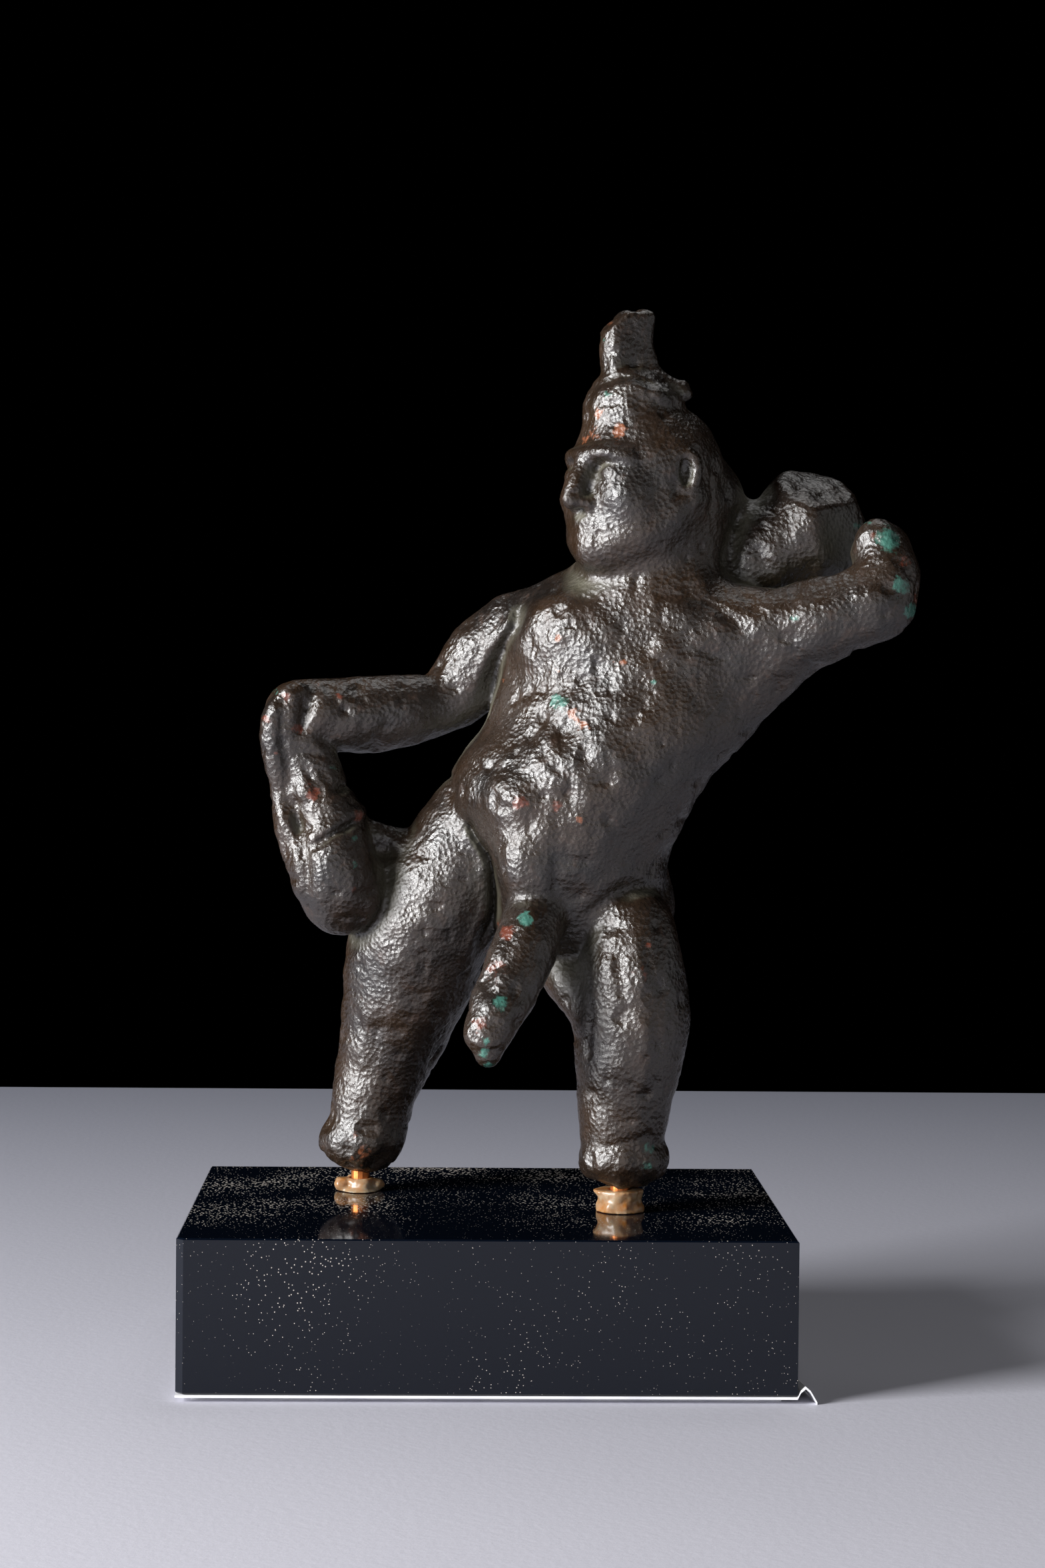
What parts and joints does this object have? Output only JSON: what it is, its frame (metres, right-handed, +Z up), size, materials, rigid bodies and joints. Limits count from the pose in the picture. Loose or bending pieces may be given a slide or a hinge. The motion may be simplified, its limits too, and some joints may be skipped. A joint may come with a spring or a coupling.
{
  "type": "bronze dwarf figurine on a plinth",
  "caption": "Small cast bronze dwarf with a raised arm, a load on the shoulder and a bag in the lowered hand, pinned to a glossy black block.",
  "frame": {"origin": "middle of the rectangular underside that the block rests on", "axes": "+Z up, +X to the viewer's right along the block's long side, the figure faces -Y and about 22 degrees towards -X"},
  "size_m": [0.0614, 0.038, 0.0903],
  "materials": {
    "bronze": "cast bronze with a dark brown-black patina, pitted, waxed, with green and red corrosion spots",
    "acrylic": "polished black acrylic block, dusty and finger-marked",
    "film": "thin pale protective film with a curled edge",
    "copper": "bright copper rod",
    "glue": "old amber adhesive, hard and slightly glossy"
  },
  "bodies": {
    "root": {"figure": "bronze", "plinth": "acrylic", "base_film": "film", "pin_left": "copper", "pin_right": "copper", "glue_left": "glue", "glue_right": "glue"}
  },
  "joints": []
}
